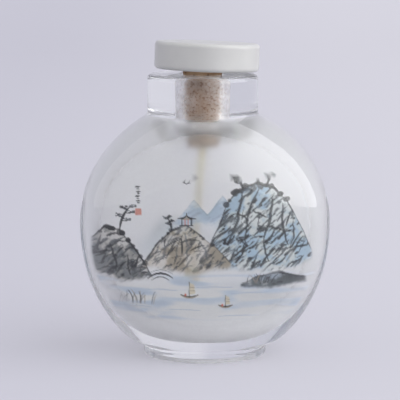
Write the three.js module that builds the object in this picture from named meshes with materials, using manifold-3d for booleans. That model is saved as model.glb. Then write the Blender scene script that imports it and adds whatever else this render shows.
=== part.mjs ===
// A snuff bottle of clear glass: a flattened, plump round body on a low oval foot, with a round neck.
// The body is hollow. A cork stands in the neck's bore, with a milk-white cap on it and a thin spoon below.
// Millimetres, +Z up. The origin is on the ground under the middle of the body, the broad face looks along -Y.
import * as THREE from 'three';
import { mergeVertices } from 'three/addons/utils/BufferGeometryUtils.js';
import Module from 'manifold-3d';

// Body: an ellipse in front view, fuller and flatter in side view.
const BODY_HALF_WIDTH = 30;
const BODY_HALF_DEPTH = 17.5;
const BELLY_HEIGHT = 31.8; // where the body is widest
const SHOULDER_HEIGHT = 57.8; // where the body reaches the neck
const SHOULDER_ROUNDNESS = 1.97; // 2 is an ellipse, more is squarer
const SHOULDER_DEPTH_ROUNDNESS = 3.8;
const LOWER_ROUNDNESS = 2.1;
const LOWER_DEPTH_ROUNDNESS = 2.45;

// Foot: a low oval with a softened edge and a shallow hollow under it.
const FOOT_HALF_WIDTH = 14.75;
const FOOT_HALF_DEPTH = 13.2;
const FOOT_HEIGHT = 2.5; // where the body stands on it at the sides
const FOOT_FRONT_HEIGHT = 3.1; // and at the front and back
const FOOT_EDGE_RADIUS = 0.5;
const FOOT_OVERHANG = 2.2; // how far the body's curve would stand out past the foot at the sides
const TUCK = 1.5; // how much of that the body tucks in again
const TUCK_HEIGHT = 2.2; // over its lowest stretch
const FOOT_RIM_WIDTH = 3;
const FOOT_HOLLOW_DEPTH = 0.6;

// Neck: round, a little left of the body's middle, with a rounded lip.
const NECK_OFFSET = -0.55;
const NECK_RADIUS = 13.2;
const LIP_HEIGHT = 67.5;
const LIP_RADIUS = 1.2;
const NECK_FLARE = 0.6; // how far the neck spreads where it meets the shoulder
const NECK_FLARE_LOW = 56.9;
const NECK_FLARE_HIGH = 58.6;

// Bore and cavity.
const BORE_TOP_RADIUS = 4.4;
const BORE_LOW_RADIUS = 4.25;
const MOUTH_RADIUS = 1.5; // rounding of the bore's upper edge
const SIDE_WALL = 4.4;
const FACE_WALL = 2.6;
const CAVITY_TOP = 55.4;
const CAVITY_FLOOR = 5;
const CAVITY_LOWER_ROUNDNESS = 2.25;
const CAVITY_DEPTH_ROUNDNESS = 3.2;

// Stopper: the cap sits askew on the cork, lower at the right and at the back.
const GAP = 0.3; // clearance between pieces
const CAP_RADIUS = 12.4;
const CAP_THICKNESS = 6.7;
const CAP_EDGE_RADIUS = 0.9;
const CAP_DOME = 0.15;
const CAP_CENTRE_X = 0.36;
const CAP_UNDERSIDE_HEIGHT = 68.4;
const CAP_TILT_SIDEWAYS = THREE.MathUtils.degToRad(2.2);
const CAP_TILT_BACK = THREE.MathUtils.degToRad(1.8);
const CORK_LOW_HEIGHT = 52.1;
const CORK_LOW_RADIUS = 3.85;
const CORK_BULGE = 0.7; // how far the cork swells above the bore
const SPOON_LENGTH = 40.4;
const SPOON_DEPTH_IN_CORK = 4.6;
const SPOON_LEAN_LEFT = THREE.MathUtils.degToRad(4.25);
const SPOON_LEAN_FORWARD = THREE.MathUtils.degToRad(7);
const STICK_RADIUS = 1;
const SCOOP_HALF_WIDTH = 1.9;
const SCOOP_LENGTH = 7;
const SCOOP_FLATNESS = 0.4; // thickness over width

// Facets.
const BODY_SEGMENTS = 52;
const CAP_SEGMENTS = 44;
const CORK_SEGMENTS = 28;
const SPOON_SEGMENTS = 14;
const HALF_BODY_LEVELS = 12;

const wasm = await Module();
wasm.setup();

const glass = new THREE.MeshStandardMaterial({ color: 0xdfe4e2, roughness: 0.05, metalness: 0 });
const milkGlass = new THREE.MeshStandardMaterial({ color: 0xdcdedb, roughness: 0.35, metalness: 0 });
const corkBark = new THREE.MeshStandardMaterial({ color: 0x9a6c45, roughness: 0.9, metalness: 0 });
const bone = new THREE.MeshStandardMaterial({ color: 0xd8c9a0, roughness: 0.5, metalness: 0 });

// A closed mesh without doubled corners or the flat triangles that a lathe leaves at its poles.
function tidy(geometry) {
  const plain = geometry.clone();
  plain.deleteAttribute('normal');
  plain.deleteAttribute('uv');
  const merged = mergeVertices(plain, 1e-5);
  const corners = [];
  const index = merged.index.array;
  for (let i = 0; i < index.length; i += 3) {
    const [a, b, c] = [index[i], index[i + 1], index[i + 2]];
    if (a !== b && b !== c && c !== a) corners.push(a, b, c);
  }
  merged.setIndex(corners);
  return merged;
}

function toSolid(geometry) {
  const mesh = tidy(geometry);
  return new wasm.Manifold(new wasm.Mesh({
    numProp: 3,
    vertProperties: Float32Array.from(mesh.attributes.position.array),
    triVerts: Uint32Array.from(mesh.index.array),
  }));
}

function toGeometry(solid) {
  const mesh = solid.getMesh();
  const geometry = new THREE.BufferGeometry();
  geometry.setAttribute('position', new THREE.BufferAttribute(mesh.vertProperties, 3));
  geometry.setIndex(new THREE.BufferAttribute(mesh.triVerts, 1));
  geometry.computeVertexNormals();
  return geometry;
}

// Turns a profile of [radius, height] points, listed from the bottom up, about the Z axis.
function turned(profile, segments) {
  const points = profile.map(([radius, height]) => new THREE.Vector2(Math.max(radius, 0), height));
  return new THREE.LatheGeometry(points, segments).rotateX(Math.PI / 2);
}

// Squeezes a turned shape front to back, by the ratio that its height asks for.
function flattened(geometry, depthRatio) {
  const position = geometry.attributes.position;
  for (let i = 0; i < position.count; i += 1) {
    position.setY(i, position.getY(i) * depthRatio(position.getZ(i)));
  }
  return geometry;
}

// Points of a quarter arc, from one angle to another, in degrees.
function arc(centreRadius, centreHeight, radius, from, to, steps) {
  const points = [];
  for (let i = 0; i <= steps; i += 1) {
    const angle = THREE.MathUtils.degToRad(from + (to - from) * (i / steps));
    points.push([centreRadius + radius * Math.cos(angle), centreHeight + radius * Math.sin(angle)]);
  }
  return points;
}

// One curve of an egg-like body: its half width at a height, from its widest level to its tip.
function swelling(halfWidth, reach, roundness) {
  return (rise) => {
    const share = Math.min(Math.abs(rise) / reach, 1);
    return halfWidth * (1 - share ** roundness) ** (1 / roundness);
  };
}

// How far such a curve reaches, if at this rise it has come in to this half width.
function reachThrough(halfWidth, rise, widthThere, roundness) {
  return rise / (1 - (widthThere / halfWidth) ** roundness) ** (1 / roundness);
}

// A swelling body about Z: upper and lower curves in front view, and the same in side view.
function swollenSolid(upper, lower, upperDepth, lowerDepth, top, bottom) {
  const width = (z) => (z > BELLY_HEIGHT ? upper : lower)(z - BELLY_HEIGHT);
  const depth = (z) => (z > BELLY_HEIGHT ? upperDepth : lowerDepth)(z - BELLY_HEIGHT);
  const profile = [[0, bottom]];
  for (let i = -HALF_BODY_LEVELS; i <= HALF_BODY_LEVELS; i += 1) {
    const swing = Math.sin((i / HALF_BODY_LEVELS) * (Math.PI / 2));
    const height = BELLY_HEIGHT + (i < 0 ? BELLY_HEIGHT - bottom : top - BELLY_HEIGHT) * swing;
    if (width(height) > 0.01) profile.push([width(height), height]);
  }
  profile.push([0, top]);
  const ratio = (z) => (width(z) > 0.01 ? depth(z) / width(z) : 1);
  return toSolid(flattened(turned(profile, BODY_SEGMENTS), ratio));
}

function bodySolid() {
  const rise = SHOULDER_HEIGHT - BELLY_HEIGHT;
  const drop = BELLY_HEIGHT - FOOT_HEIGHT;
  const frontDrop = BELLY_HEIGHT - FOOT_FRONT_HEIGHT;
  const reachUp = reachThrough(BODY_HALF_WIDTH, rise, NECK_RADIUS, SHOULDER_ROUNDNESS);
  const reachUpDepth = reachThrough(BODY_HALF_DEPTH, rise, NECK_RADIUS, SHOULDER_DEPTH_ROUNDNESS);
  const footWidth = FOOT_HALF_WIDTH + FOOT_OVERHANG;
  const reachDown = reachThrough(BODY_HALF_WIDTH, drop, footWidth, LOWER_ROUNDNESS);
  const reachDownDepth = reachThrough(BODY_HALF_DEPTH, frontDrop, FOOT_HALF_DEPTH, LOWER_DEPTH_ROUNDNESS);
  const lowerWidth = swelling(BODY_HALF_WIDTH, reachDown, LOWER_ROUNDNESS);
  const tuckedWidth = (rise) => {
    const share = Math.max(1 - (drop + rise) / TUCK_HEIGHT, 0);
    return lowerWidth(rise) - TUCK * share ** 2;
  };
  return swollenSolid(
    swelling(BODY_HALF_WIDTH, reachUp, SHOULDER_ROUNDNESS),
    tuckedWidth,
    swelling(BODY_HALF_DEPTH, reachUpDepth, SHOULDER_DEPTH_ROUNDNESS),
    swelling(BODY_HALF_DEPTH, reachDownDepth, LOWER_DEPTH_ROUNDNESS),
    SHOULDER_HEIGHT,
    FOOT_HEIGHT,
  );
}

function footSolid() {
  const ratio = FOOT_HALF_DEPTH / FOOT_HALF_WIDTH;
  const edge = arc(FOOT_HALF_WIDTH - FOOT_EDGE_RADIUS, FOOT_EDGE_RADIUS, FOOT_EDGE_RADIUS, -90, 0, 3);
  const top = FOOT_FRONT_HEIGHT + FOOT_HOLLOW_DEPTH;
  const block = [[0, 0], ...edge, [FOOT_HALF_WIDTH, top], [0, top]];
  const hollowRadius = FOOT_HALF_WIDTH - FOOT_RIM_WIDTH;
  const hollow = [
    [0, -1],
    [hollowRadius, -1],
    [hollowRadius, 0],
    [hollowRadius - FOOT_HOLLOW_DEPTH, FOOT_HOLLOW_DEPTH],
    [0, FOOT_HOLLOW_DEPTH],
  ];
  const foot = toSolid(flattened(turned(block, BODY_SEGMENTS), () => ratio));
  return foot.subtract(toSolid(flattened(turned(hollow, BODY_SEGMENTS), () => ratio)));
}

function neckSolid() {
  const flareHeight = NECK_FLARE_HIGH - NECK_FLARE_LOW;
  const flare = arc(1, 1, 1, -90, -180, 3).map(([out, up]) => [
    NECK_RADIUS + out * NECK_FLARE,
    NECK_FLARE_LOW + up * flareHeight,
  ]);
  const lip = arc(NECK_RADIUS - LIP_RADIUS, LIP_HEIGHT - LIP_RADIUS, LIP_RADIUS, 0, 90, 4);
  const low = SHOULDER_HEIGHT - 6;
  const profile = [[0, low], [NECK_RADIUS - 2, low], ...flare, ...lip, [0, LIP_HEIGHT]];
  return toSolid(turned(profile, BODY_SEGMENTS).translate(NECK_OFFSET, 0, 0));
}

function cavitySolid() {
  const halfWidth = BODY_HALF_WIDTH - SIDE_WALL;
  const halfDepth = BODY_HALF_DEPTH - FACE_WALL;
  const reachUp = CAVITY_TOP - BELLY_HEIGHT;
  const reachDown = BELLY_HEIGHT - CAVITY_FLOOR;
  return swollenSolid(
    swelling(halfWidth, reachUp, SHOULDER_ROUNDNESS),
    swelling(halfWidth, reachDown, CAVITY_LOWER_ROUNDNESS),
    swelling(halfDepth, reachUp, CAVITY_DEPTH_ROUNDNESS),
    swelling(halfDepth, reachDown, LOWER_DEPTH_ROUNDNESS),
    CAVITY_TOP,
    CAVITY_FLOOR,
  );
}

function boreSolid() {
  const mouth = arc(BORE_TOP_RADIUS + MOUTH_RADIUS, LIP_HEIGHT - MOUTH_RADIUS, MOUTH_RADIUS, 180, 90, 3);
  const low = CAVITY_TOP - 3;
  const profile = [
    [0, low],
    [BORE_LOW_RADIUS, low],
    ...mouth,
    [BORE_TOP_RADIUS + MOUTH_RADIUS, LIP_HEIGHT + 1],
    [0, LIP_HEIGHT + 1],
  ];
  return toSolid(turned(profile, BODY_SEGMENTS).translate(NECK_OFFSET, 0, 0));
}

function makeBottle() {
  const outside = bodySolid().add(footSolid()).add(neckSolid());
  const hollow = cavitySolid().add(boreSolid());
  const bottle = new THREE.Mesh(toGeometry(outside.subtract(hollow)), glass);
  bottle.name = 'bottle';
  return bottle;
}

function makeCap() {
  const low = arc(CAP_RADIUS - CAP_EDGE_RADIUS, CAP_EDGE_RADIUS, CAP_EDGE_RADIUS, -90, 0, 3);
  const highCentre = CAP_THICKNESS - CAP_EDGE_RADIUS - CAP_DOME;
  const high = arc(CAP_RADIUS - CAP_EDGE_RADIUS, highCentre, CAP_EDGE_RADIUS, 0, 90, 4);
  const geometry = tidy(turned([[0, 0], ...low, ...high, [0, CAP_THICKNESS]], CAP_SEGMENTS));
  geometry.computeVertexNormals();
  const cap = new THREE.Mesh(geometry, milkGlass);
  cap.name = 'cap';
  return cap;
}

// The cork's top is pared parallel to the cap's underside, a gap below it.
function corkTopAt(x, y) {
  const underside = CAP_UNDERSIDE_HEIGHT - Math.tan(CAP_TILT_SIDEWAYS) * (x - CAP_CENTRE_X);
  return underside - Math.tan(CAP_TILT_BACK) * y - GAP;
}

function corkSolid() {
  const squeezed = BORE_TOP_RADIUS - GAP;
  const profile = [
    [0, CORK_LOW_HEIGHT],
    [CORK_LOW_RADIUS - GAP, CORK_LOW_HEIGHT],
    [CORK_LOW_RADIUS, CORK_LOW_HEIGHT + GAP],
    [BORE_LOW_RADIUS - GAP, CAVITY_TOP],
    [squeezed, LIP_HEIGHT - MOUTH_RADIUS],
    [squeezed + CORK_BULGE / 2, LIP_HEIGHT - MOUTH_RADIUS / 3],
    [squeezed + CORK_BULGE, LIP_HEIGHT],
    [squeezed + CORK_BULGE, CAP_UNDERSIDE_HEIGHT],
    [0, CAP_UNDERSIDE_HEIGHT],
  ];
  const geometry = turned(profile, CORK_SEGMENTS).translate(NECK_OFFSET, 0, 0);
  const position = geometry.attributes.position;
  for (let i = 0; i < position.count; i += 1) {
    if (position.getZ(i) > CAP_UNDERSIDE_HEIGHT - 0.01) {
      position.setZ(i, corkTopAt(position.getX(i), position.getY(i)));
    }
  }
  return toSolid(geometry);
}

// Puts a shape that hangs down from the origin where the spoon hangs from the cork.
function hungFromCork(geometry) {
  geometry.rotateX(-SPOON_LEAN_FORWARD);
  geometry.rotateY(SPOON_LEAN_LEFT);
  return geometry.translate(NECK_OFFSET, 0, CORK_LOW_HEIGHT);
}

function makeCork() {
  const holeDepth = SPOON_DEPTH_IN_CORK + GAP;
  const holeRadius = STICK_RADIUS + GAP;
  const hole = turned([[0, -2], [holeRadius, -2], [holeRadius, holeDepth], [0, holeDepth]], SPOON_SEGMENTS);
  const solid = corkSolid().subtract(toSolid(hungFromCork(hole)));
  const cork = new THREE.Mesh(toGeometry(solid), corkBark);
  cork.name = 'cork';
  return cork;
}

// The spoon: a plain round stick whose end widens and flattens into a dished scoop.
function makeSpoon() {
  const top = SPOON_DEPTH_IN_CORK;
  const tip = top - SPOON_LENGTH;
  const scoopTop = tip + SCOOP_LENGTH;
  const profile = [[0, tip]];
  const steps = 9;
  for (let i = 1; i < steps; i += 1) {
    const along = (i / steps) ** 1.4;
    const swell = Math.sin(Math.PI * along ** 0.8) ** 0.6;
    const blend = STICK_RADIUS * along ** 2;
    profile.push([Math.max(SCOOP_HALF_WIDTH * swell, blend), tip + SCOOP_LENGTH * along]);
  }
  profile.push([STICK_RADIUS * 0.9, scoopTop], [STICK_RADIUS, scoopTop + 4], [STICK_RADIUS, top], [0, top]);
  const flatness = (z) => {
    const up = THREE.MathUtils.clamp((z - tip) / SCOOP_LENGTH, 0, 1);
    return SCOOP_FLATNESS + (1 - SCOOP_FLATNESS) * THREE.MathUtils.smoothstep(up, 0.5, 1);
  };
  const geometry = tidy(hungFromCork(flattened(turned(profile, SPOON_SEGMENTS), flatness)));
  geometry.computeVertexNormals();
  const spoon = new THREE.Mesh(geometry, bone);
  spoon.name = 'spoon';
  return spoon;
}

const snuffBottle = new THREE.Group();
const stopperTop = new THREE.Group();
stopperTop.position.set(CAP_CENTRE_X, 0, CAP_UNDERSIDE_HEIGHT);
stopperTop.rotation.set(-CAP_TILT_BACK, CAP_TILT_SIDEWAYS, 0);
stopperTop.add(makeCap());
snuffBottle.add(makeBottle(), makeCork(), makeSpoon(), stopperTop);

export default snuffBottle;
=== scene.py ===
import math
import bmesh
import bpy
import numpy as np
from mathutils import Euler, Matrix, Vector


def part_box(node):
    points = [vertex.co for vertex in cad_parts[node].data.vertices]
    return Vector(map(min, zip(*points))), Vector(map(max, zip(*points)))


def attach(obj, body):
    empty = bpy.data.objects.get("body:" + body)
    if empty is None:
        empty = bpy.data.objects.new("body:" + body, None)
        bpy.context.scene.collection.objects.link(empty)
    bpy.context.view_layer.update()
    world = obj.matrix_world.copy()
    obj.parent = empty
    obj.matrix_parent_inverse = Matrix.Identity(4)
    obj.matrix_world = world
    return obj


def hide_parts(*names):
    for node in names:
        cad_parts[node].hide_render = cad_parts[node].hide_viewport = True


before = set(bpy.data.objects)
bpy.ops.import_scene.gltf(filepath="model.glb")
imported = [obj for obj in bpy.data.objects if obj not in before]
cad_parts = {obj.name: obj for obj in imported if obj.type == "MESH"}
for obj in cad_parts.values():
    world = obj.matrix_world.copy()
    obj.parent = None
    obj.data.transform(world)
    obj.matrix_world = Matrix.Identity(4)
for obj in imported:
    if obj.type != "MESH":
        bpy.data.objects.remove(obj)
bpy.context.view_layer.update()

# A snuff bottle of clear glass, frosted and painted inside, with a milk glass cap on a cork and a bone spoon.
# Each piece is shaped in millimetres and brought to metres in its last step.
mm = 0.001
scene = bpy.context.scene
boxes = {name: [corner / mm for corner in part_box(name)] for name in ("bottle", "cap", "cork", "spoon")}


# Shared helpers

def arcPoints(centreRadius, centreHeight, radius, fromAngle, toAngle, steps):
    angles = np.radians(np.linspace(fromAngle, toAngle, steps + 1))
    return [(centreRadius + radius * math.cos(a), centreHeight + radius * math.sin(a)) for a in angles]


def swell(halfWidth, reach, roundness, rise):
    share = min(abs(rise) / reach, 1.0)
    return halfWidth * (1 - share ** roundness) ** (1 / roundness)


def reachThrough(halfWidth, rise, widthThere, roundness):
    return rise / (1 - (widthThere / halfWidth) ** roundness) ** (1 / roundness)


def softStep(value, low, high):
    share = np.clip((value - low) / (high - low), 0, 1)
    return share * share * (3 - 2 * share)


def latticeValue(i, j, seed):
    mixed = (i * 374761393 + j * 668265263 + seed * 974711) & 0xFFFFFFFF
    mixed = ((mixed ^ (mixed >> 13)) * 1274126177) & 0xFFFFFFFF
    return ((mixed ^ (mixed >> 16)) & 0xFFFF) / 65535.0


def grain(x, z, size, seed):    # smooth value noise, 0 to 1
    u, v = np.asarray(x) / size, np.asarray(z) / size
    i, j = np.floor(u).astype(np.int64), np.floor(v).astype(np.int64)
    a, b = u - i, v - j
    a, b = a * a * (3 - 2 * a), b * b * (3 - 2 * b)
    low = latticeValue(i, j, seed) * (1 - a) + latticeValue(i + 1, j, seed) * a
    high = latticeValue(i, j + 1, seed) * (1 - a) + latticeValue(i + 1, j + 1, seed) * a
    return low * (1 - b) + high * b


def cloud(x, z, size, seed, octaves=4):
    total, weight, sum_ = 0.0, 1.0, 0.0
    for octave in range(octaves):
        total = total + weight * grain(x, z, size / 2 ** octave, seed + 17 * octave)
        sum_ += weight
        weight *= 0.55
    return total / sum_


def spunFrom(points, steps):    # a profile spun about Z; 'station' keeps the number of each of its points
    bm = bmesh.new()
    station = bm.verts.layers.float.new("station")
    verts = [bm.verts.new((radius, 0, height)) for radius, height in points]
    for number, vert in enumerate(verts):
        vert[station] = number
    edges = [bm.edges.new(pair) for pair in zip(verts, verts[1:])]
    bmesh.ops.spin(bm, geom=verts + edges, cent=(0, 0, 0), axis=(0, 0, 1),
                   angle=2 * math.pi, steps=steps, use_merge=True)
    bmesh.ops.remove_doubles(bm, verts=bm.verts, dist=1e-4)
    return bm, station


def makePiece(bm, name, materials, nodeName):    # to metres, onto its body, in place of its node
    bmesh.ops.scale(bm, vec=(mm, mm, mm), verts=bm.verts)
    bmesh.ops.recalc_face_normals(bm, faces=bm.faces)
    for face in bm.faces:
        face.smooth = True
    mesh = bpy.data.meshes.new(name)
    bm.to_mesh(mesh)
    bm.free()
    for material in materials:
        mesh.materials.append(material)
    piece = bpy.data.objects.new(name, mesh)
    scene.collection.objects.link(piece)
    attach(piece, "root")
    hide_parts(nodeName)
    return piece


def newMaterial(name, values):
    material = bpy.data.materials.new(name)
    material.use_nodes = True
    tree = material.node_tree
    shader = tree.nodes["Principled BSDF"]
    for socket, value in values.items():
        shader.inputs[socket].default_value = value
    return material, tree, shader


def addNode(tree, kind, settings=None, **inputs):
    node = tree.nodes.new(kind)
    for key, value in (settings or {}).items():
        setattr(node, key, value)
    for key, value in inputs.items():
        socket = node.inputs[key.replace("_", " ")]
        if isinstance(value, bpy.types.NodeSocket):
            tree.links.new(value, socket)
        else:
            socket.default_value = value
    return node


def objectNoise(tree, scale, detail=3.0, roughness=0.5, stretch=(1, 1, 1)):
    place = addNode(tree, "ShaderNodeTexCoord").outputs["Object"]
    mapped = addNode(tree, "ShaderNodeMapping", Vector=place, Scale=stretch).outputs["Vector"]
    return addNode(tree, "ShaderNodeTexNoise", Vector=mapped, Scale=scale, Detail=detail, Roughness=roughness)


def addBump(tree, shader, height, strength, distance):
    bump = addNode(tree, "ShaderNodeBump", Strength=strength, Distance=distance, Height=height)
    tree.links.new(bump.outputs["Normal"], shader.inputs["Normal"])


def ramp(tree, factor, stops):
    node = addNode(tree, "ShaderNodeValToRGB", Fac=factor)
    elements = node.color_ramp.elements
    while len(elements) < len(stops):
        elements.new(0.5)
    for element, (position, colour) in zip(elements, stops):
        element.position = position
        element.color = (*colour, 1)
    return node.outputs["Color"]


# Camera

cameraPlace = {
    "position": (-1.18, -409.0, 103.1),
    "pitch": 80.84,
    "lens": 155.5,
    "sensor": 36,
    "clipStart": 0.01,
}
cameraData = bpy.data.cameras.new("camera")
cameraData.lens = cameraPlace["lens"]
cameraData.sensor_width = cameraPlace["sensor"]
cameraData.clip_start = cameraPlace["clipStart"]
camera = bpy.data.objects.new("camera", cameraData)
camera.location = Vector(cameraPlace["position"]) * mm
camera.rotation_euler = (math.radians(cameraPlace["pitch"]), 0, 0)
scene.collection.objects.link(camera)
scene.camera = camera
scene.view_settings.view_transform = "Standard"
scene.cycles.max_bounces = 32
scene.cycles.diffuse_bounces = 12
scene.cycles.transmission_bounces = 24
scene.cycles.glossy_bounces = 8


# The bottle: one turned profile, from under the foot up the outside and down the inside, then squeezed

glassShape = {
    "bellyHeight": 31.8,
    "shoulderHeight": 57.8,
    "shoulderRoundness": 1.97,
    "shoulderDepthRoundness": 3.8,
    "lowerRoundness": 2.1,
    "lowerDepthRoundness": 2.45,
    "footHalfWidth": 14.75,
    "footHalfDepth": 13.2,
    "footHeight": 2.5,
    "footFrontHeight": 3.1,
    "footEdge": 0.5,
    "footOverhang": 2.2,
    "tuck": 1.5,
    "tuckHeight": 2.2,
    "rimWidth": 3.0,
    "hollowDepth": 0.6,
    "neckOffset": -0.55,
    "neckRadius": 13.2,
    "filletLow": 57.1,
    "filletHigh": 58.7,
    "lipRadius": 1.2,
    "boreTopRadius": 4.4,
    "boreLowRadius": 4.25,
    "mouthRadius": 1.5,
    "sideWall": 4.4,
    "faceWall": 2.6,
    "cavityTop": 55.4,
    "cavityFloor": 5.0,
    "cavityDepthRoundness": 3.2,
    "cavityLowerRoundness": 2.25,
    "cavityLowerDepthRoundness": 2.45,
    "steps": 124,
    "bodyLevels": 26,
    "cavityLevels": 30,
    "paintedLow": 9.0,
    "paintedHigh": 44.0,
    "frontCuts": 5,
    "backCuts": 2,
}


def bodySections(s, halfWidth, halfDepth):    # the outside's half width and half depth at a height
    belly, corner, footWidth = s["bellyHeight"], s["shoulderHeight"], s["footHalfWidth"] + s["footOverhang"]
    upWidth = reachThrough(halfWidth, corner - belly, s["neckRadius"], s["shoulderRoundness"])
    upDepth = reachThrough(halfDepth, corner - belly, s["neckRadius"], s["shoulderDepthRoundness"])
    downWidth = reachThrough(halfWidth, belly - s["footHeight"], footWidth, s["lowerRoundness"])
    downDepth = reachThrough(halfDepth, belly - s["footFrontHeight"], s["footHalfDepth"],
                             s["lowerDepthRoundness"])

    def widthAt(height):
        if height > belly:
            return swell(halfWidth, upWidth, s["shoulderRoundness"], height - belly)
        tuck = s["tuck"] * max(1 - (height - s["footHeight"]) / s["tuckHeight"], 0) ** 2
        return swell(halfWidth, downWidth, s["lowerRoundness"], height - belly) - tuck

    def depthAt(height):
        if height > belly:
            return swell(halfDepth, upDepth, s["shoulderDepthRoundness"], height - belly)
        return swell(halfDepth, downDepth, s["lowerDepthRoundness"], height - belly)

    return widthAt, depthAt


def cavitySections(s, halfWidth, halfDepth):
    belly = s["bellyHeight"]
    reachUp, reachDown = s["cavityTop"] - belly, belly - s["cavityFloor"]

    def widthAt(height):
        up = height > belly
        return swell(halfWidth - s["sideWall"], reachUp if up else reachDown,
                     s["shoulderRoundness"] if up else s["cavityLowerRoundness"], height - belly)

    def depthAt(height):
        up = height > belly
        return swell(halfDepth - s["faceWall"], reachUp if up else reachDown,
                     s["cavityDepthRoundness"] if up else s["cavityLowerDepthRoundness"], height - belly)

    return widthAt, depthAt


def bottleStations(s, halfWidth, halfDepth, lip):
    # rows of: radius, height, depth for that radius, extra height at the front, shift sideways,
    # and zone: 0 polished, 1 bore, 2 frosted
    rows = []
    footWidth, footDepth, edge = s["footHalfWidth"], s["footHalfDepth"], s["footEdge"]
    footRatio = footDepth / footWidth
    frontGain = s["footFrontHeight"] - s["footHeight"]
    hollow, hollowTop = footWidth - s["rimWidth"], s["hollowDepth"]
    low, belly, high = s["footHeight"], s["bellyHeight"], s["filletLow"]
    shift, neck, top = s["neckOffset"], s["neckRadius"], s["filletHigh"]
    widthAt, depthAt = bodySections(s, halfWidth, halfDepth)

    def addFoot(radius, height, lift=0.0):
        rows.append((radius, height, radius * footRatio, lift, 0, 0))

    for radius in (0, 4, 8, hollow - hollowTop - 0.15):
        addFoot(radius, hollowTop)
    addFoot(hollow - hollowTop + 0.1, hollowTop - 0.06)
    addFoot(hollow - 0.12, 0.08)
    for radius in (hollow + 0.12, footWidth - edge - 0.25):
        addFoot(radius, 0)
    for radius, height in arcPoints(footWidth - edge, edge, edge, -90, 0, 5):
        addFoot(radius, height)
    sideTop = low - 0.45
    for share in (0.15, 0.4, 0.7, 0.9, 1.0):
        addFoot(footWidth, edge + (sideTop - edge) * share, frontGain * share)

    startWidth = widthAt(low)    # a small fillet under the body, then the body's curves
    for share, up in ((0.06, 0.25), (0.3, 0.36), (0.65, 0.42), (1.0, 0.45)):
        rows.append((footWidth + (startWidth - footWidth) * share, sideTop + up, footDepth, frontGain, 0, 0))
    for i in range(1, s["bodyLevels"] + 1):
        height = belly - (belly - low) * math.cos(i / s["bodyLevels"] * math.pi / 2)
        lift = frontGain * max(1 - (height - low) / 6, 0) ** 2
        rows.append((widthAt(height), height, depthAt(height + lift), lift, 0, 0))
    for i in range(1, s["bodyLevels"] + 1):
        height = belly + (high - belly) * math.sin(i / s["bodyLevels"] * math.pi / 2)
        near = max((height - 50) / (high - 50), 0) ** 2
        rows.append((widthAt(height), height, depthAt(height), 0, shift * near, 0))
    width, depth = widthAt(high), depthAt(high)
    for t in (0.15, 0.3, 0.45, 0.6, 0.75, 0.88, 1.0):
        a, bc = (1 - t) ** 2, 1 - (1 - t) ** 2
        height = a * high + 2 * t * (1 - t) * s["shoulderHeight"] + t * t * top
        rows.append((a * width + bc * neck, height, a * depth + bc * neck, 0, shift, 0))

    def addRound(radius, height, zone=0):
        rows.append((radius, height, radius, 0, shift, zone))

    lipRadius, mouth = s["lipRadius"], s["mouthRadius"]
    boreTop, boreLow = s["boreTopRadius"], s["boreLowRadius"]
    for height in (top + 0.4, 61, 63.5, lip - lipRadius - 0.3):
        addRound(neck, height)
    for radius, height in arcPoints(neck - lipRadius, lip - lipRadius, lipRadius, 0, 90, 7):
        addRound(radius, height)
    for radius in (neck - lipRadius - 0.3, 9.0, boreTop + mouth + 0.3):
        addRound(radius, lip)
    for radius, height in arcPoints(boreTop + mouth, lip - mouth, mouth, 90, 180, 7):
        addRound(radius, height)
    boreEnd = s["cavityTop"]
    for share in (0.04, 0.35, 0.65, 0.93):
        addRound(boreTop + (boreLow - boreTop) * share, lip - mouth + (boreEnd - lip + mouth) * share, 1)

    insideWidthAt, insideDepthAt = cavitySections(s, halfWidth, halfDepth)
    span = s["cavityLevels"]
    quarter = [i / span * math.pi / 2 for i in range(1, span + 1)]
    heights = [belly + (s["cavityTop"] - belly) * math.cos(turn) for turn in quarter]
    heights += [belly - (belly - s["cavityFloor"]) * math.sin(turn) for turn in quarter[:-1]]
    for height in heights:
        width = insideWidthAt(height)
        near = max((height - 50) / (s["cavityTop"] - 50), 0) ** 2
        if width > (boreLow + 0.3 if height > belly else 1.0):
            rows.append((width, height, insideDepthAt(height), 0, shift * near, 2))
    rows.append((0, s["cavityFloor"], 0, 0, 0, 2))
    return np.array(rows)


def bottleMesh(s):
    halfWidth, halfDepth, lip = boxes["bottle"][1]
    rows = bottleStations(s, halfWidth, halfDepth, lip)
    insideWidthAt, insideDepthAt = cavitySections(s, halfWidth, halfDepth)
    bm, station = spunFrom([(row[0], row[1]) for row in rows], s["steps"])
    for face in bm.faces:
        zones = [rows[int(round(v[station])), 5] for v in face.verts]
        face.material_index = int(max(zones))
    for vert in bm.verts:
        radius, height, depth, lift, shift, zone = rows[int(round(vert[station]))]
        angle = math.atan2(vert.co.y, vert.co.x)
        vert.co = (radius * math.cos(angle) + shift, depth * math.sin(angle),
                   height + lift * math.sin(angle) ** 2)
    for side, cuts in ((-1, s["frontCuts"]), (1, s["backCuts"])):
        wall = [f for f in bm.faces if f.material_index == 2 and f.calc_center_median().y * side > 0
                and s["paintedLow"] < f.calc_center_median().z < s["paintedHigh"]]
        edges = list({e for f in wall for e in f.edges})
        bmesh.ops.subdivide_edges(bm, edges=edges, cuts=cuts, use_grid_fill=True)
    cutFaces = [f for f in bm.faces if f.material_index == 2
                and s["paintedLow"] - 2 < f.calc_center_median().z < s["paintedHigh"] + 2]
    for vert in {v for f in cutFaces for v in f.verts}:    # the new points onto the true curve
        width, depth = insideWidthAt(vert.co.z), insideDepthAt(vert.co.z)
        angle = math.atan2(vert.co.y / depth, vert.co.x / width)
        vert.co.x, vert.co.y = width * math.cos(angle), depth * math.sin(angle)
    return bm


# Its glass: polished outside, a little hazy in the bore, frosted and painted inside

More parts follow.
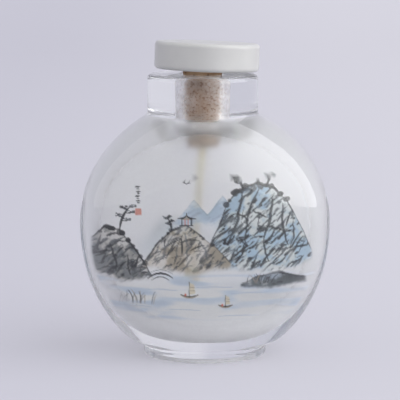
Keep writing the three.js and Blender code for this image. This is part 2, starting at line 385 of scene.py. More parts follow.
def clearGlass():
    material, tree, shader = newMaterial("clear_glass", {
        "Base Color": (0.975, 0.988, 0.98, 1), "Roughness": 0.0, "IOR": 1.5, "Transmission Weight": 1.0})
    addBump(tree, shader, objectNoise(tree, 70, 1.0).outputs["Fac"], 0.12, 0.0006)
    return material


def boreGlass():
    material, tree, shader = newMaterial("bore_glass", {"Roughness": 0.35, "IOR": 1.5})
    dust = objectNoise(tree, 1900, 3.0, 0.6)
    film = objectNoise(tree, 300, 2.0, 0.5)
    tint = ramp(tree, dust.outputs["Fac"], [(0.36, (0.42, 0.28, 0.19)), (0.46, (0.82, 0.72, 0.64)),
                                            (0.62, (0.94, 0.88, 0.84))])
    tree.links.new(tint, shader.inputs["Base Color"])
    through = addNode(tree, "ShaderNodeMapRange", Value=film.outputs["Fac"], From_Min=0.35, From_Max=0.65,
                      To_Min=0.6, To_Max=0.88)
    tree.links.new(through.outputs["Result"], shader.inputs["Transmission Weight"])
    addBump(tree, shader, dust.outputs["Fac"], 0.3, 0.0002)
    return material


def frostedGlass():
    material, tree, shader = newMaterial("painted_frost", {
        "Roughness": 0.32, "IOR": 1.5})
    paint = addNode(tree, "ShaderNodeAttribute", {"attribute_name": "paint"})
    fine = objectNoise(tree, 1400, 4.0, 0.6)
    speckle = addNode(tree, "ShaderNodeMapRange", Value=fine.outputs["Fac"], From_Min=0.3, From_Max=0.7,
                      To_Min=0.965, To_Max=1.03)
    tinted = addNode(tree, "ShaderNodeVectorMath", {"operation": "SCALE"})
    tree.links.new(paint.outputs["Color"], tinted.inputs[0])
    tree.links.new(speckle.outputs["Result"], tinted.inputs["Scale"])
    tree.links.new(tinted.outputs["Vector"], shader.inputs["Base Color"])
    through = addNode(tree, "ShaderNodeMapRange", Value=paint.outputs["Alpha"], From_Min=0.0, From_Max=1.0,
                      To_Min=0.85, To_Max=0.03)
    tree.links.new(through.outputs["Result"], shader.inputs["Transmission Weight"])
    addBump(tree, shader, fine.outputs["Fac"], 0.2, 0.0001)
    return material


# The painting: washes and strokes laid over the frosted wall, with x and z in millimetres as the canvas

pigments = {    # as they look through the glass, 0 to 1
    "frost": (0.967, 0.967, 0.967),
    "white": (0.98, 0.98, 0.98),
    "ink": (0.02, 0.022, 0.025),
    "softInk": (0.12, 0.13, 0.14),
    "blueWash": (0.42, 0.57, 0.74),
    "blueGrey": (0.33, 0.42, 0.51),
    "greenGrey": (0.46, 0.54, 0.52),
    "ochre": (0.58, 0.48, 0.36),
    "umber": (0.34, 0.30, 0.24),
    "slate": (0.19, 0.21, 0.22),
    "water": (0.55, 0.65, 0.80),
    "deepWater": (0.46, 0.54, 0.66),
    "sail": (0.74, 0.64, 0.46),
    "red": (0.62, 0.16, 0.10),
}


brush = {
    "seed": 7,
    "frostCover": 0.28,          # how much of the plain frost hides what is behind it, 0 to 1
    "thinFrost": (46, 52),       # heights between which the frost thins out under the neck
    "thinWidth": (8.5, 5),       # and distances from the middle
    "groundHeight": (19, 8),     # heights between which the white ground thickens
    "spread": 0.72,              # half a stroke's width, for each millimetre of its thickness
    "softEdge": 0.07,
    "mossSize": 1.25,
    "deepen": 1.5,               # how much darker the pigments dry
    "glassPasses": 0.384,        # light that comes back through the glass from a pale wall
    "glassReturns": 0.6,         # light that the glass throws back on the wall
    "sideFade": 3.0,             # the sides stay plain as far as this from the middle plane
}


class Canvas:
    def __init__(self, x, z):
        self.x, self.z = x, z
        self.colour = np.tile(np.array(pigments["frost"]), (len(x), 1))
        far, near = brush["thinWidth"]
        thin = softStep(z, *brush["thinFrost"]) * softStep(-np.abs(x), -far, -near)
        self.cover = brush["frostCover"] * (1 - thin)
        self.random = np.random.default_rng(brush["seed"])

    def wash(self, pigment, amount, body=1.0):
        amount = np.clip(amount, 0, 1)
        self.colour += (np.array(pigments[pigment]) - self.colour) * amount[:, None]
        self.cover = np.maximum(self.cover, amount * body)

    def stroke(self, points, thickness, pigment="ink", strength=1.0, taper=True):
        points = np.array(points, float)
        near, along = np.full(len(self.x), 1e9), np.zeros(len(self.x))
        lengths = np.linalg.norm(np.diff(points, axis=0), axis=1)
        starts = np.concatenate([[0], np.cumsum(lengths)])
        for (x0, z0), (x1, z1), length, start in zip(points, points[1:], lengths, starts):
            t = np.clip(((self.x - x0) * (x1 - x0) + (self.z - z0) * (z1 - z0)) / length ** 2, 0, 1)
            distance = np.hypot(self.x - x0 - t * (x1 - x0), self.z - z0 - t * (z1 - z0))
            closer = distance < near
            near[closer], along[closer] = distance[closer], (start + t[closer] * length) / starts[-1]
        half = thickness * brush["spread"]
        if taper:
            half = half * (0.4 + 0.6 * np.sin(np.pi * np.clip(along, 0.03, 0.97)))
        self.wash(pigment, strength * softStep(half - near, -brush["softEdge"], brush["softEdge"]))

    def curve(self, start, middle, end, thickness, pigment="ink", strength=1.0):
        t = np.linspace(0, 1, 7)[:, None]
        start, middle, end = (np.array(point, float) for point in (start, middle, end))
        path = (1 - t) ** 2 * start + 2 * t * (1 - t) * middle + t * t * end
        self.stroke(path, thickness, pigment, strength)

    def dot(self, x, z, radius, pigment="ink", strength=1.0, squash=1.0):
        distance = np.hypot(self.x - x, (self.z - z) / squash)
        self.wash(pigment, strength * softStep(radius - distance, -0.1, 0.1))

    def patch(self, corners, pigment, strength=1.0, soft=0.1):    # a convex shape, corners anticlockwise
        inside = np.full(len(self.x), 1e9)
        for (x0, z0), (x1, z1) in zip(corners, corners[1:] + corners[:1]):
            length = math.hypot(x1 - x0, z1 - z0)
            inside = np.minimum(inside, ((x1 - x0) * (self.z - z0) - (z1 - z0) * (self.x - x0)) / length)
        self.wash(pigment, strength * softStep(inside, -soft, soft))

    def hill(self, ridge, foot, tints, seed, rough, fade, line, grit, slant=0.5, depth=6.0, creases=0):
        # a mass under a ridge line that fades out above its foot line, with dry strokes, an inked edge and
        # short creases
        x, z = self.x, self.z
        ridgeX, ridgeZ = zip(*ridge)
        footX, footZ = zip(*foot)
        top = np.interp(x, ridgeX, ridgeZ) + rough * (cloud(x, 0 * x + seed, 3.2, seed, 5) - 0.5) * 2
        low = np.interp(x, footX, footZ) + 1.2 * (cloud(x, 0 * x, 4.0, seed + 3) - 0.5)
        under = top - z
        left, right = ridgeX[0], ridgeX[-1]
        ends = softStep(x, left - 0.2, left + 0.5) * softStep(-x, -right - 0.2, -right + 0.5)
        mask = softStep(under, -0.08, 0.12) * softStep(z - low, -0.3, fade) * ends
        blot = cloud(x + 0.4 * z, z - 0.3 * x, 3.6, seed + 5, 5)
        self.wash(tints[0], mask * (0.55 + 0.45 * softStep(blot, 0.35, 0.65)), 0.9)
        self.wash(tints[1], mask * softStep(blot, 0.42, 0.62) * 0.85, 0.9)
        self.wash(tints[2], mask * np.exp(-np.maximum(under, 0) / depth) * softStep(blot, 0.3, 0.75) * 0.75)
        along, across = x * math.cos(slant) + z * math.sin(slant), z * math.cos(slant) - x * math.sin(slant)
        dry = grain(along + 1.5 * blot, across * 4.2 + 2.0 * blot, 1.7, seed + 9)
        finer = grain(along, across * 3.0, 0.62, seed + 13)
        self.wash("softInk", mask * softStep(dry * 0.7 + finer * 0.3, 0.52, 0.66) * grit)
        inked = softStep(dry * 0.6 + finer * 0.4, 0.6, 0.72) * softStep(blot, 0.35, 0.55)
        self.wash("ink", mask * inked * grit)
        pressure = grain(x, 0 * x, 1.6, seed + 21)
        edge = softStep(0.14 + 0.28 * pressure - np.abs(under - 0.1), -0.08, 0.1)
        self.wash("ink", edge * ends * line * softStep(z - low, 0.2, 1.6) * (0.45 + 0.55 * pressure))
        for _ in range(creases):
            self.crease(ridge, foot, slant)
        return lambda at: float(np.interp(at, ridgeX, ridgeZ)) + rough * float(
            cloud(np.array([float(at)]), np.array([float(seed)]), 3.2, seed, 5)[0] - 0.5) * 2

    def crease(self, ridge, foot, slant):    # a short bowed stroke somewhere between the ridge and the foot
        (ridgeX, ridgeZ), (footX, footZ) = zip(*ridge), zip(*foot)
        startX = self.random.uniform(ridgeX[0] + 1.0, ridgeX[-1] - 1.0)
        crest, valley = float(np.interp(startX, ridgeX, ridgeZ)), float(np.interp(startX, footX, footZ))
        startZ = crest - 0.5 - (crest - valley - 1.5) * self.random.uniform(0, 1) ** 1.2
        reach = self.random.uniform(1.2, 4.2)
        turn = slant + self.random.normal(0, 0.35)
        endX = startX - reach * math.cos(turn)
        endZ = startZ - reach * abs(math.sin(turn))
        if ridgeX[0] < endX < ridgeX[-1] and endZ > np.interp(endX, footX, footZ) + 0.6:
            middle = ((startX + endX) / 2, (startZ + endZ) / 2 + self.random.uniform(0.1, 0.7))
            end = (endX, min(endZ, float(np.interp(endX, ridgeX, ridgeZ)) - 0.4))
            self.curve((startX, startZ), middle, end, self.random.uniform(0.12, 0.42),
                       self.random.choice(["ink", "ink", "softInk"]), self.random.uniform(0.6, 0.95))

    def fold(self, start, end, bow, thickness, strength, pigment="ink"):    # a crack with a wavering line
        steps = 9
        t = np.linspace(0, 1, steps)
        start, end = np.array(start, float), np.array(end, float)
        path = start + (end - start) * t[:, None]
        side = np.array([-(end - start)[1], (end - start)[0]]) / np.linalg.norm(end - start)
        waver = np.sin(np.pi * t) * bow + self.random.normal(0, 0.16, steps) * np.sin(np.pi * t)
        self.stroke(path + side * waver[:, None], thickness, pigment, strength)

    def moss(self, places, least, most):
        for x, z in places:
            radius = brush["mossSize"] * self.random.uniform(least, most)
            self.dot(x + self.random.normal(0, 0.15), z + self.random.normal(0, 0.15), radius,
                     "ink", self.random.uniform(0.75, 1.0), self.random.uniform(0.7, 1.1))

    def pine(self, x, z, height, lean, pads):
        crown = (x + lean, z + height)
        self.curve((x, z), (x + lean * 0.1, z + height * 0.6), crown, 0.42, "ink", 0.95)
        for share, side, reach in pads:
            px, pz = x + lean * share ** 1.5, z + height * share
            tip = (px + side * reach, pz + 0.35)
            self.curve((px, pz), (px + side * reach * 0.5, pz + 0.1), tip, 0.24, "ink", 0.9)
            for _ in range(int(7 + reach * 5)):
                nx = px + side * self.random.uniform(0.1, 1.15) * reach
                nz = pz + 0.35 + self.random.uniform(-0.12, 0.4)
                self.dot(nx, nz, self.random.uniform(0.14, 0.3),
                         self.random.choice(["ink", "ink", "slate"]), 0.85, 0.7)

    def pavilion(self, x, z, size):
        self.patch([(x - size, z + size * 0.95), (x, z + size * 0.85), (x + size, z + size * 0.95),
                    (x + 0.12 * size, z + size * 1.55), (x - 0.12 * size, z + size * 1.55)], "umber", 0.9)
        for side in (-1, 1):
            self.curve((x, z + size * 1.68), (x + side * size * 0.25, z + size * 1.0),
                       (x + side * size * 1.35, z + size * 1.12), 0.28)
            outer, inner = x + side * size * 0.72, x + side * size * 0.25
            self.stroke([(outer, z), (outer, z + size * 0.95)], 0.24, "ink", 0.85, False)
            self.stroke([(inner, z), (inner, z + size * 0.9)], 0.18, "red", 0.75, False)
        self.stroke([(x - size, z), (x + size, z)], 0.26)
        self.stroke([(x, z + size * 1.6), (x, z + size * 1.9)], 0.22)

    def sailBoat(self, x, z, size, turn):
        bow, stern = x - size, x + size * 1.05
        self.curve((bow, z + 0.3 * size), (x, z - 0.32 * size), (stern, z + 0.28 * size), 0.42, "umber")
        self.curve((bow, z + 0.34 * size), (x, z - 0.12 * size), (stern, z + 0.32 * size), 0.2)
        self.stroke([(x, z), (x + 0.05 * turn, z + 1.9 * size)], 0.17, "ink", 0.9, False)
        corners = [(x + 0.08 * turn, z + 0.35 * size), (x + 0.75 * size * turn, z + 0.45 * size),
                   (x + 0.55 * size * turn, z + 1.65 * size), (x + 0.08 * turn, z + 1.85 * size)]
        self.patch(corners if turn > 0 else corners[::-1], "sail", 0.9)
        for share in (0.35, 0.65):
            self.stroke([(x + 0.08 * turn, z + (0.35 + 1.5 * share) * size),
                         (x + 0.66 * size * turn, z + (0.42 + 1.25 * share) * size)],
                        0.13, "umber", 0.8, False)
        self.dot(x - 0.45 * size * turn, z + 0.3 * size, 0.26, "red", 0.95, 1.3)

    def reeds(self, x, z, count, spread, height):
        for _ in range(count):
            foot = x + self.random.normal(0, spread)
            lean = self.random.normal(0.3, 0.8)
            tall = height * self.random.uniform(0.6, 1.1)
            self.curve((foot, z), (foot + lean * 0.2, z + tall * 0.7), (foot + lean, z + tall), 0.17,
                       self.random.choice(["softInk", "umber", "ink"]), 0.8)

    def streaks(self, low, high, seed, amount):    # long level strokes of a wet brush
        x, z = self.x, self.z
        inside = softStep(z, low, low + 1.2) * softStep(-z, -high, -high + 1.2)
        broad = grain(x + 0.8 * z, z * 7.5, 11.0, seed) * 0.6 + grain(x, z * 5.0, 5.0, seed + 2) * 0.4
        self.wash("water", inside * softStep(broad, 0.45, 0.68) * amount, 0.8)
        self.wash("deepWater", inside * softStep(broad, 0.62, 0.8) * amount * 0.6, 0.8)

    def ground(self):    # the white ground is thicker towards the floor
        high, low = brush["groundHeight"]
        self.wash("white", softStep(-self.z, -high, -low))
        self.plainColour, self.plainCover = self.colour.copy(), self.cover.copy()

    def fade(self, share):    # back to the plain ground where the share is small
        self.colour = self.plainColour + (self.colour - self.plainColour) * share[:, None]
        self.cover = self.plainCover + (self.cover - self.plainCover) * share

    def base(self):    # what the pigment has to be, behind glass that throws part of its light back
        seen = self.colour ** brush["deepen"]
        return seen / (brush["glassPasses"] + brush["glassReturns"] * seen)


def paintWater(canvas):
    canvas.streaks(10.6, 22.5, 31, 0.9)
    canvas.wash("white", 0.6 * softStep(canvas.z, 8, 11) * softStep(-canvas.z, -17, -12)
                * softStep(cloud(canvas.x, canvas.z * 2, 6, 41), 0.45, 0.6))


def paintFarPeaks(canvas):
    canvas.hill([(-9, 33), (-5, 36.5), (-2.5, 39.6), (0.5, 36.4), (4, 40.5), (8, 35)],
                [(-9, 32), (0, 31), (8, 31)],
                ("blueWash", "water", "blueGrey"), 3, rough=0.6, fade=5.0, line=0.25, grit=0.12)


def paintCrag(canvas):    # the great crag on the right, with folds, moss and two small trees
    crag = canvas.hill([(-0.8, 24.5), (1.0, 29), (3.2, 33.6), (5.0, 38.8), (7.6, 41.8), (12.0, 43.4),
                        (15.6, 41.8), (18.2, 39.2), (20.4, 35.4), (22.4, 31.4), (24.0, 26.5)],
                       [(-0.8, 23.8), (8, 22.2), (16, 21.4), (24.0, 23.4)],
                       ("greenGrey", "blueWash", "blueGrey"), 11, rough=0.8, fade=2.2, line=1.0, grit=0.9,
                       slant=0.75, depth=9.0, creases=90)
    folds = (
        ((8.4, 41.2), (5.2, 29.5), 0.6, 0.5),
        ((12.2, 42), (9.2, 31), -0.7, 0.42),
        ((9.2, 31), (7.4, 25.4), 0.4, 0.34),
        ((15.2, 39.8), (13.4, 30.5), 0.5, 0.5),
        ((13.4, 30.5), (14.6, 24.8), -0.4, 0.34),
        ((17.6, 38), (18.8, 28.6), -0.5, 0.4),
        ((6.8, 36.4), (9.9, 34.6), 0.3, 0.3),
        ((10.6, 37.2), (14.4, 35.2), -0.3, 0.3),
        ((13.8, 33.2), (18.2, 31.6), 0.3, 0.3),
        ((20, 33.8), (19.4, 27.6), 0.3, 0.3),
    )
    for start, end, bow, thickness in folds:
        canvas.fold(start, end, bow, thickness, 0.85)
    canvas.moss([(x, crag(x) + 0.1) for x in canvas.random.uniform(4.6, 20.5, 18)], 0.3, 0.7)
    canvas.moss([(x, 29 + canvas.random.uniform(0, 6)) for x in canvas.random.uniform(4, 20, 16)], 0.15, 0.38)
    canvas.pine(8.4, crag(8.4), 2.4, -1.2, [(0.5, -1, 1.2), (0.75, 1, 1.0), (1.0, -1, 1.3), (1.05, 1, 0.7)])
    canvas.pine(14.0, crag(14.0), 2.0, 0.9, [(0.6, 1, 1.2), (0.95, -1, 0.8), (1.0, 1, 1.0)])


def paintMound(canvas):    # the warm middle mound with its pavilion
    mound = canvas.hill([(-14.5, 24), (-11.2, 29.2), (-7.8, 32.6), (-4.4, 33.4), (-0.8, 31.4), (2.6, 28.4),
                         (6.0, 24.4)],
                        [(-14.5, 23.4), (-4, 21.8), (6.0, 23.2)],
                        ("ochre", "umber", "umber"), 23, rough=0.7, fade=1.8, line=0.95, grit=0.75,
                        slant=0.9, depth=4.0, creases=50)
    folds = (
        ((-7.6, 31), (-9.6, 25.6), -0.4, 0.34),
        ((-4.6, 31.8), (-4.2, 25.4), 0.4, 0.34),
        ((-1.4, 30.2), (0.4, 25.6), 0.4, 0.34),
        ((-6.4, 29), (-6.9, 24.8), 0.2, 0.24),
    )
    for start, end, bow, thickness in folds:
        canvas.fold(start, end, bow, thickness, 0.7, "softInk")
    canvas.pavilion(-4.2, mound(-4.2) - 0.1, 1.5)
    canvas.moss([(x, mound(x)) for x in (-9.4, -8.6, -7.8, -1.0, -0.2, 1.4, 2.0)], 0.22, 0.42)
    canvas.pine(-7.6, mound(-7.6), 2.6, -0.8,
                [(0.45, -1, 1.0), (0.7, 1, 0.9), (0.95, -1, 1.1), (1.05, 1, 0.7)])


def paintKnoll(canvas):    # the dark knoll in front on the left, its leaning pine and the bridge
    knoll = canvas.hill([(-25.2, 29), (-22.8, 32.2), (-19.6, 31.8), (-16.6, 28.6), (-13.8, 24.8),
                         (-11.6, 21)],
                        [(-25.2, 21), (-19, 19.2), (-11.6, 20.2)],
                        ("umber", "slate", "slate"), 37, rough=0.6, fade=1.4, line=1.0, grit=0.85,
                        slant=0.7, depth=6.0, creases=50)
    canvas.pine(-19.4, knoll(-19.4), 5.4, 2.2,
                [(0.4, 1, 1.6), (0.55, -1, 1.5), (0.75, 1, 1.7), (0.9, -1, 1.5), (1.0, 1, 1.3)])
    canvas.moss([(x, knoll(x)) for x in canvas.random.uniform(-24, -13, 14)], 0.25, 0.6)
    canvas.fold((-21.6, 28.4), (-20.2, 22), 0.4, 0.36, 0.8)
    canvas.fold((-17.6, 26), (-17.0, 21.4), -0.3, 0.3, 0.8)
    canvas.curve((-13.0, 20.9), (-10.2, 23.4), (-7.4, 21.2), 0.34)
    canvas.curve((-12.2, 20.4), (-10.2, 22.2), (-8.2, 20.6), 0.22, "softInk")
    canvas.curve((-13.2, 21.7), (-10.2, 24.2), (-7.2, 22.0), 0.15, "softInk", 0.8)


def paintShore(canvas):    # a flat spit of land on the right, reeds, two boats and the water's own lines
    canvas.hill([(8.0, 19.6), (12, 21.6), (17, 22.2), (22.6, 20.4)], [(8.0, 18.8), (15, 18.2), (22.6, 19)],
                ("slate", "slate", "ink"), 51, rough=0.35, fade=0.8, line=0.8, grit=0.6, slant=0.1, depth=3.0)
    canvas.reeds(12.6, 19.6, 12, 1.5, 2.4)
    canvas.reeds(-15.4, 14.6, 16, 1.6, 3.0)
    canvas.sailBoat(-3.6, 16.6, 1.9, 1)
    canvas.sailBoat(4.6, 14.2, 1.5, 1)
    ripples = ((-13, -6, 18.2), (-2, 7, 19.0), (6, 15, 17.4), (-9, -1, 13.4), (3, 12, 11.9), (-18, -12, 13.9))
    for x0, x1, z in ripples:
        canvas.curve((x0, z), ((x0 + x1) / 2, z + 0.3), (x1, z - 0.1), 0.18, "deepWater", 0.8)


def paintSky(canvas):    # a few birds, and a short column of plain dashes over a plain red block
    for x, z, size in ((-4.2, 43.2, 0.9), (-1.9, 44.3, 0.75), (-6.6, 44.8, 0.7)):
        canvas.curve((x - size, z + 0.35 * size), (x - 0.4 * size, z + 0.5 * size), (x, z), 0.18)
        canvas.curve((x, z), (x + 0.4 * size, z + 0.5 * size), (x + size, z + 0.3 * size), 0.18)
    column, top, spacing = -15.2, 42.0, 1.05
    for row, (left, right) in enumerate(((-0.55, 0.5), (-0.35, 0.6), (-0.6, 0.35), (-0.4, 0.5))):
        z = top - row * spacing
        canvas.stroke([(column + left, z), (column + right, z + 0.12)], 0.3)
        canvas.stroke([(column + left * 0.5, z - 0.42), (column + right * 0.7, z - 0.36)], 0.22)
    canvas.patch([(-15.9, 35.6), (-14.4, 35.7), (-14.45, 37.2), (-15.85, 37.15)], "red", 0.85)


def paintFront(canvas):
    canvas.ground()
    for paintPart in (paintWater, paintFarPeaks, paintCrag, paintMound, paintKnoll, paintShore, paintSky):
        paintPart(canvas)


def paintBack(canvas):
    canvas.ground()
    canvas.streaks(10, 19, 77, 0.6)
    ridge = canvas.hill([(-20, 20), (-14, 26), (-8, 28.6), (-2, 25), (3, 27.6), (9, 31), (14, 27), (20, 21)],
                        [(-20, 19.6), (0, 20), (20, 19.6)],
                        ("blueWash", "greenGrey", "blueGrey"), 83, rough=0.9, fade=3.5, line=0.6, grit=0.35,
                        slant=0.9)
    canvas.moss([(x, ridge(x)) for x in canvas.random.uniform(-14, 15, 9)], 0.3, 0.5)
    canvas.sailBoat(2.5, 15.0, 2.0, -1)


def paintWall(mesh):
    places = np.empty(len(mesh.vertices) * 3)
    mesh.vertices.foreach_get("co", places)
    places = places.reshape(-1, 3) / mm
    slots, starts = np.empty(len(mesh.polygons), int), np.empty(len(mesh.polygons), int)
    corners = np.empty(len(mesh.loops), int)
    mesh.polygons.foreach_get("material_index", slots)
    mesh.polygons.foreach_get("loop_total", starts)
    mesh.loops.foreach_get("vertex_index", corners)
    frosted = np.zeros(len(places), bool)
    frosted[corners[np.repeat(slots == 2, starts)]] = True
    colours = np.ones((len(places), 4))
    colours[:, 3] = 0
    for side, painter in ((-1, paintFront), (1, paintBack)):
        chosen = frosted & (places[:, 1] * side > -0.001)
        canvas = Canvas(places[chosen, 0] * -side, places[chosen, 2])
        painter(canvas)
        canvas.fade(softStep(np.abs(places[chosen, 1]), 0.0, brush["sideFade"]))
        colours[chosen, :3], colours[chosen, 3] = canvas.base(), canvas.cover
    attribute = mesh.color_attributes.new(name="paint", type="FLOAT_COLOR", domain="POINT")
    attribute.data.foreach_set("color", colours.ravel())


def bottle():
    bm = bottleMesh(glassShape)
    materials = [clearGlass(), boreGlass(), frostedGlass()]
    piece = makePiece(bm, "glassBottle", materials, "bottle")
    paintWall(piece.data)
    return piece


bottlePiece = bottle()
print("bottle: glass turned and squeezed,", len(bottlePiece.data.polygons), "faces")


# The cork: pared by hand, pitted, a little wider above the mouth than in the bore

corkShape = {
    "lowHeight": 52.1,
    "lowRadius": 3.85,
    "boreRadius": 4.3,
    "mouthTop": 66.0,
    "steps": 72,
    "levels": 60,
    "roughness": 0.07,
}
capPlace = {"underside": 68.4, "centreX": 0.36, "sideways": 2.2, "back": 1.8}


def cork(s):
    centre = (boxes["cork"][0] + boxes["cork"][1]) / 2
    halfWidth = (boxes["cork"][1].x - boxes["cork"][0].x) / 2
    tanSide, tanBack = (math.tan(math.radians(capPlace[way])) for way in ("sideways", "back"))
    low, lowRadius, top = s["lowHeight"], s["lowRadius"], capPlace["underside"]
    profile = [(0, low), (lowRadius * 0.5, low), (lowRadius - 0.25, low)]
    for i in range(s["levels"] + 1):
        height = low + 0.3 + (top - low - 0.3) * i / s["levels"]
        inBore = min((height - low) / 3.4, 1)
        radius = lowRadius + (s["boreRadius"] - 0.12 - lowRadius) * inBore
        radius += (halfWidth - 0.1 - radius) * float(softStep(height, s["mouthTop"], top - 0.6))
        profile.append((radius, height))
    profile += [(halfWidth * 0.6, top), (0, top)]
    bm, station = spunFrom(profile, s["steps"])
    for vert in bm.verts:
        angle, height, radius = math.atan2(vert.co.y, vert.co.x), vert.co.z, vert.co.xy.length
        if radius > 1:
            around = angle * 4.3
            wave = float(cloud(around, height, 1.6, 5)) - 0.5
            pit = max(float(grain(around, height, 0.5, 11)) - 0.78, 0) * 1.2
            factor = (radius + s["roughness"] * 2 * wave - pit * 0.5) / radius
            vert.co.x *= min(factor, (radius + 0.08) / radius)
            vert.co.y *= min(factor, (radius + 0.08) / radius)
        vert.co.x += centre.x
        underside = top - tanSide * (vert.co.x - capPlace["centreX"]) - tanBack * vert.co.y - 0.05
        vert.co.z = min(vert.co.z, underside)
    return bm


def corkBark():
    material, tree, shader = newMaterial("cork_bark", {"Roughness": 0.85, "Specular IOR Level": 0.25})
    broad = objectNoise(tree, 260, 5.0, 0.65)
    fine = objectNoise(tree, 1500, 4.0, 0.7)
    place = addNode(tree, "ShaderNodeTexCoord").outputs["Object"]
    pits = addNode(tree, "ShaderNodeTexVoronoi", Vector=place, Scale=900, Randomness=1.0)
    ground = ramp(tree, broad.outputs["Fac"], [(0.3, (0.25, 0.145, 0.075)), (0.55, (0.42, 0.27, 0.16)),
                                               (0.8, (0.55, 0.4, 0.27))])
    pitted = ramp(tree, pits.outputs["Distance"], [(0.12, (0.2, 0.12, 0.07)), (0.3, (1, 1, 1))])
    mixed = addNode(tree, "ShaderNodeMix", {"data_type": "RGBA", "blend_type": "MULTIPLY"})
    mixed.inputs["Factor"].default_value = 0.8
    tree.links.new(ground, mixed.inputs[6])
    tree.links.new(pitted, mixed.inputs[7])
    tree.links.new(mixed.outputs[2], shader.inputs["Base Color"])
    addBump(tree, shader, fine.outputs["Fac"], 0.6, 0.0002)
    return material


makePiece(cork(corkShape), "corkStopper", [corkBark()], "cork")
print("cork: pared and pitted")


# The cap: a flat disc of milk glass with softened edges, sitting a little askew

capShape = {
    "radius": 12.4,
    "thickness": 6.7,
    "edge": 0.9,
    "dome": 0.15,
    "steps": 124,
}


def cap(s):
    radius, edge, high = s["radius"], s["edge"], s["thickness"] - s["edge"] - s["dome"]
    profile = [(0, 0), (radius * 0.4, 0), (radius * 0.8, 0), (radius - edge - 0.3, 0)]
    profile += arcPoints(radius - edge, edge, edge, -90, 0, 8)
    profile += [(radius, edge + 0.4), (radius, s["thickness"] / 2), (radius, high - 0.4)]
    profile += arcPoints(radius - edge, high, edge, 0, 90, 8)
    for share in (0.95, 0.75, 0.5, 0.25, 0):
        rim = (radius - edge) * share
        profile.append((rim, s["thickness"] - s["dome"] * share * share))
    bm, station = spunFrom(profile, s["steps"])
    turn = Euler((-math.radians(capPlace["back"]), math.radians(capPlace["sideways"]), 0)).to_matrix()
    bmesh.ops.rotate(bm, cent=(0, 0, 0), matrix=turn, verts=bm.verts)
    bmesh.ops.translate(bm, vec=(capPlace["centreX"], 0, capPlace["underside"]), verts=bm.verts)
    return bm


def milkGlass():
    material, tree, shader = newMaterial("milk_glass", {
        "Roughness": 0.3, "IOR": 1.5, "Subsurface Weight": 0.35, "Subsurface Radius": (1.0, 0.95, 0.9),
        "Subsurface Scale": 0.0015})
    broad = objectNoise(tree, 110, 3.0, 0.5)
    tint = ramp(tree, broad.outputs["Fac"], [(0.3, (0.44, 0.44, 0.432)), (0.7, (0.485, 0.485, 0.475))])
    tree.links.new(tint, shader.inputs["Base Color"])
    addBump(tree, shader, objectNoise(tree, 500, 3.0).outputs["Fac"], 0.08, 0.0002)
    return material


makePiece(cap(capShape), "milkGlassCap", [milkGlass()], "cap")
print("cap: turned and set askew")


# The spoon: a thin bone stick with a dished scoop, pushed into the cork

spoonShape = {
    "depthInCork": 4.6,
    "length": 40.4,
    "stick": 1.0,
    "scoopHalfWidth": 1.9,
    "scoopLength": 7.0,
    "scoopFlatness": 0.4,
    "leanForward": 7.0,
    "leanLeft": 4.25,
    "steps": 32,
}


def spoon(s):
    tip = s["depthInCork"] - s["length"]
    profile = [(0, tip)]
    for i in range(1, 14):
        along = (i / 14) ** 1.4
        bulge = math.sin(math.pi * along ** 0.8) ** 0.6
        halfWidth = max(s["scoopHalfWidth"] * bulge, s["stick"] * along ** 2) - 0.02
        profile.append((halfWidth, tip + s["scoopLength"] * along))
    shoulder = tip + s["scoopLength"]
    profile += [(s["stick"] * 0.9, shoulder), (s["stick"] - 0.02, shoulder + 4)]
    profile += [(s["stick"] - 0.02, shoulder + 4 + (-4 - shoulder) * i / 12) for i in range(1, 13)]
    profile += [(s["stick"] - 0.02, s["depthInCork"]), (0, s["depthInCork"])]
    bm, station = spunFrom(profile, s["steps"])
    for vert in bm.verts:
        up = np.clip((vert.co.z - tip) / s["scoopLength"], 0, 1)
        vert.co.y *= s["scoopFlatness"] + (1 - s["scoopFlatness"]) * float(softStep(up, 0.5, 1))
    left, forward = math.radians(s["leanLeft"]), math.radians(s["leanForward"])
    lean = Matrix.Rotation(left, 3, "Y") @ Matrix.Rotation(-forward, 3, "X")
    bmesh.ops.rotate(bm, cent=(0, 0, 0), matrix=lean, verts=bm.verts)
    bmesh.ops.translate(bm, vec=(glassShape["neckOffset"], 0, corkShape["lowHeight"]), verts=bm.verts)
    return bm


def bone():
    material, tree, shader = newMaterial("bone", {"Roughness": 0.45, "Subsurface Weight": 0.15,
                                                  "Subsurface Scale": 0.001})
    streaks = objectNoise(tree, 700, 4.0, 0.6, (1, 1, 0.12))
    tint = ramp(tree, streaks.outputs["Fac"], [(0.3, (0.72, 0.63, 0.4)), (0.65, (0.85, 0.78, 0.55))])
    tree.links.new(tint, shader.inputs["Base Color"])
    addBump(tree, shader, streaks.outputs["Fac"], 0.2, 0.0001)
    return material


makePiece(spoon(spoonShape), "boneSpoon", [bone()], "spoon")
print("spoon: stick and scoop")


# Floor and backdrop in one pale sweep, with painted light: it glows a little, and it is painted darker on the
# left and lighter on the right

sweepShape = {
    "halfWidth": 7.0,
    "front": -1.6,
    "bend": 1.0,
    "radius": 0.8,
    "height": 5.5,
    "glow": 0.34,    # a little light of its own, so that the shadow stays soft
    "shading": 0.15,
    # painted shade on the left and painted light on the right, as if lit from the right
    "leftPaperInPaintedShade": (0.236, 0.234, 0.27),
    "rightPaperInPaintedLight": (0.28, 0.277, 0.32),
    "leftGlow": (0.85, 0.84, 0.94),
    "rightGlow": (0.97, 0.96, 1.0),
}


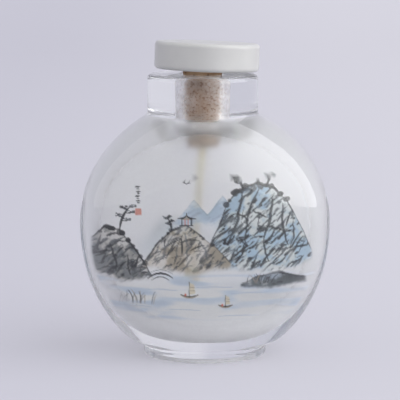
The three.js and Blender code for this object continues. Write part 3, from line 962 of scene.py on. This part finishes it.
def sweep(s):
    bm = bmesh.new()
    side = [(s["front"], 0), (s["bend"], 0)]
    side += [(s["bend"] + s["radius"] * math.sin(a), s["radius"] * (1 - math.cos(a)))
             for a in np.radians(np.linspace(6, 90, 15))]
    side.append((s["bend"] + s["radius"], s["height"]))
    verts = [bm.verts.new((-s["halfWidth"], y, z)) for y, z in side]
    edges = [bm.edges.new(pair) for pair in zip(verts, verts[1:])]
    made = bmesh.ops.extrude_edge_only(bm, edges=edges)["geom"]
    moved = [part for part in made if isinstance(part, bmesh.types.BMVert)]
    bmesh.ops.translate(bm, vec=(2 * s["halfWidth"], 0, 0), verts=moved)
    bmesh.ops.recalc_face_normals(bm, faces=bm.faces)
    for face in bm.faces:
        face.smooth = True
    mesh = bpy.data.meshes.new("sweep")
    bm.to_mesh(mesh)
    bm.free()
    material, tree, shader = newMaterial("pale_paper_painted_light", {"Roughness": 0.9, "Specular IOR Level": 0.1,
                                                        "Emission Strength": s["glow"]})
    # the paper's colour and its glow go from darker on the left to lighter on the right: painted shade and
    # painted light. The glow itself is painted light, for the floor is no lamp
    place = addNode(tree, "ShaderNodeTexCoord").outputs["Object"]
    across = addNode(tree, "ShaderNodeSeparateXYZ", Vector=place).outputs["X"]
    share = addNode(tree, "ShaderNodeMapRange", {"interpolation_type": "SMOOTHSTEP"}, Value=across,
                    From_Min=-s["shading"], From_Max=s["shading"]).outputs["Result"]
    paperWithPaintedLight = ramp(tree, share, [(0.0, s["leftPaperInPaintedShade"]), (1.0, s["rightPaperInPaintedLight"])])
    glow = ramp(tree, share, [(0.0, s["leftGlow"]), (1.0, s["rightGlow"])])
    tree.links.new(paperWithPaintedLight, shader.inputs["Base Color"])
    tree.links.new(glow, shader.inputs["Emission Color"])
    mesh.materials.append(material)
    piece = bpy.data.objects.new("sweep", mesh)
    scene.collection.objects.link(piece)


sweep(sweepShape)


# Soft studio light without lamps: a pale surround, bright on the right, a little brighter left and back

lights = {
    "surround": (0.48, 0.48, 0.505),
    "lobes": {    # the direction it comes from, where it starts from -1 behind to 1 ahead, how strong it is
        "right": ((1, 0, 0), -0.2, 3.05),
        "left": ((-1, 0, 0), -0.2, 0.65),
        "back": ((0, 1, 0.3), -0.2, 0.46),
    },
}


def addSurround(s):
    world = bpy.data.worlds.new("surround")
    scene.world = world
    world.use_nodes = True
    tree = world.node_tree
    direction = addNode(tree, "ShaderNodeTexCoord").outputs["Generated"]
    total = addNode(tree, "ShaderNodeRGB").outputs["Color"]
    total.default_value = (*s["surround"], 1)
    for axis, low, strength in s["lobes"].values():
        lined = addNode(tree, "ShaderNodeVectorMath", {"operation": "DOT_PRODUCT"})
        tree.links.new(direction, lined.inputs[0])
        lined.inputs[1].default_value = Vector(axis).normalized()
        lobe = addNode(tree, "ShaderNodeMapRange", {"interpolation_type": "SMOOTHSTEP"},
                       Value=lined.outputs["Value"], From_Min=low, From_Max=1.0, To_Min=0.0, To_Max=strength)
        added = addNode(tree, "ShaderNodeVectorMath", {"operation": "ADD"})
        tree.links.new(total, added.inputs[0])
        tree.links.new(lobe.outputs["Result"], added.inputs[1])
        total = added.outputs["Vector"]
    tree.links.new(total, tree.nodes["Background"].inputs["Color"])


addSurround(lights)
print("stage and lights set")
